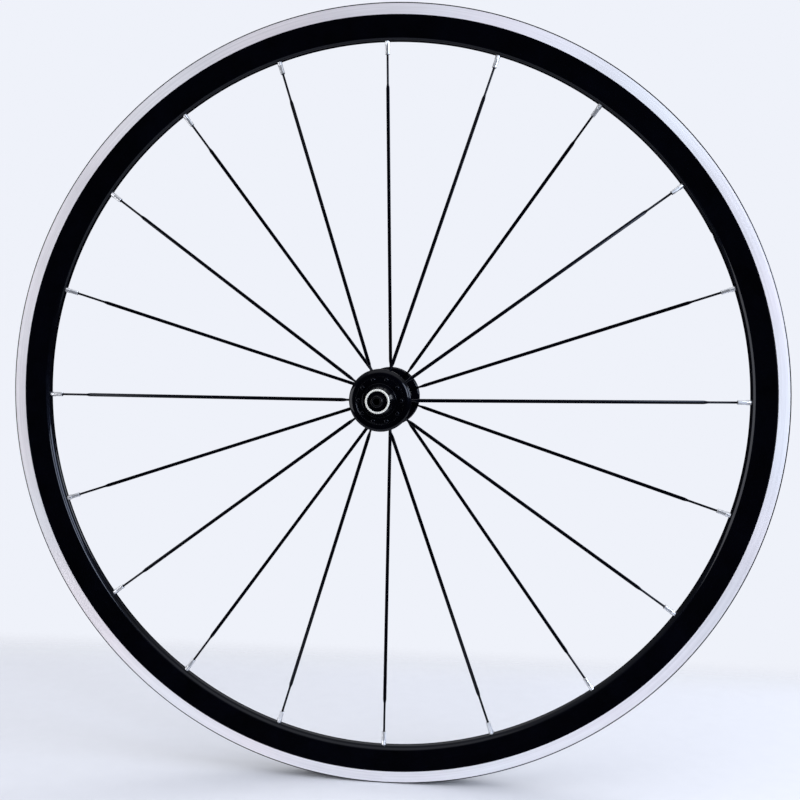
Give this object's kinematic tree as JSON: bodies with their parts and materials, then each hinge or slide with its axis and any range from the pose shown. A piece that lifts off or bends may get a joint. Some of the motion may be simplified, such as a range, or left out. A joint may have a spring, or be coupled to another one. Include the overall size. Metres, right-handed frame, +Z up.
{
  "type": "bicycle front wheel",
  "caption": "Road bicycle front wheel for rim brakes: radial bladed spokes, black rim with silver brake tracks, small hub on sealed bearings and a hollow quick-release axle.",
  "frame": {"origin": "centre of the wheel: on the axle's centre line, midway between the two fork faces", "axes": "+Y along the axle towards the wheel's right side, +Z straight up through the first spoke, +X in the wheel's plane"},
  "size_m": [0.6329, 0.1084, 0.633],
  "materials": {
    "rim_black": "gloss black anodised rim wall with machined silver brake tracks",
    "tape": "woven polyester band",
    "spoke_black": "gloss black",
    "nipple_silver": "bright",
    "hub_black": "gloss black anodised",
    "axle_black": "satin black anodised",
    "contact_steel": "knurled bright steel",
    "race_steel": "ground",
    "ball_steel": "polished",
    "cage_plastic": "moulded polyamide",
    "seal_rubber": "moulded lip seal"
  },
  "bodies": {
    "axle_unit": {"axle": "axle_black", "axle_cap_left": "axle_black", "axle_cap_right": "axle_black", "contact_ring_left": "contact_steel", "contact_ring_right": "contact_steel", "inner_race_left": "race_steel", "inner_race_right": "race_steel"},
    "wheel": {"rim": "rim_black", "rim_tape": "tape", "spoke_01": "spoke_black", "spoke_02": "spoke_black", "spoke_03": "spoke_black", "spoke_04": "spoke_black", "spoke_05": "spoke_black", "spoke_06": "spoke_black", "spoke_07": "spoke_black", "spoke_08": "spoke_black", "spoke_09": "spoke_black", "spoke_10": "spoke_black", "spoke_11": "spoke_black", "spoke_12": "spoke_black", "spoke_13": "spoke_black", "spoke_14": "spoke_black", "spoke_15": "spoke_black", "spoke_16": "spoke_black", "spoke_17": "spoke_black", "spoke_18": "spoke_black", "spoke_19": "spoke_black", "spoke_20": "spoke_black", "nipples_left": "nipple_silver", "nipples_right": "nipple_silver", "hub_shell": "hub_black", "outer_race_left": "race_steel", "outer_race_right": "race_steel", "bearing_seals_left": "seal_rubber", "bearing_seals_right": "seal_rubber"},
    "ball_set_left": {"balls_left": "ball_steel", "ball_cage_left": "cage_plastic"},
    "ball_set_right": {"balls_right": "ball_steel", "ball_cage_right": "cage_plastic"}
  },
  "joints": [
    {"name": "wheel_spin", "type": "hinge", "parent": "axle_unit", "child": "wheel", "pos_m": [0, 0, 0], "axis": [0, 1, 0], "continuous": true},
    {"name": "ball_set_left_spin", "type": "hinge", "parent": "axle_unit", "child": "ball_set_left", "pos_m": [0, -0.036, 0], "axis": [0, 1, 0], "continuous": true},
    {"name": "ball_set_right_spin", "type": "hinge", "parent": "axle_unit", "child": "ball_set_right", "pos_m": [0, 0.036, 0], "axis": [0, 1, 0], "continuous": true}
  ],
  "couplings": [
    {"joint": "ball_set_left_spin", "follows": "wheel_spin", "ratio": 0.5833},
    {"joint": "ball_set_right_spin", "follows": "wheel_spin", "ratio": 0.5833}
  ]
}
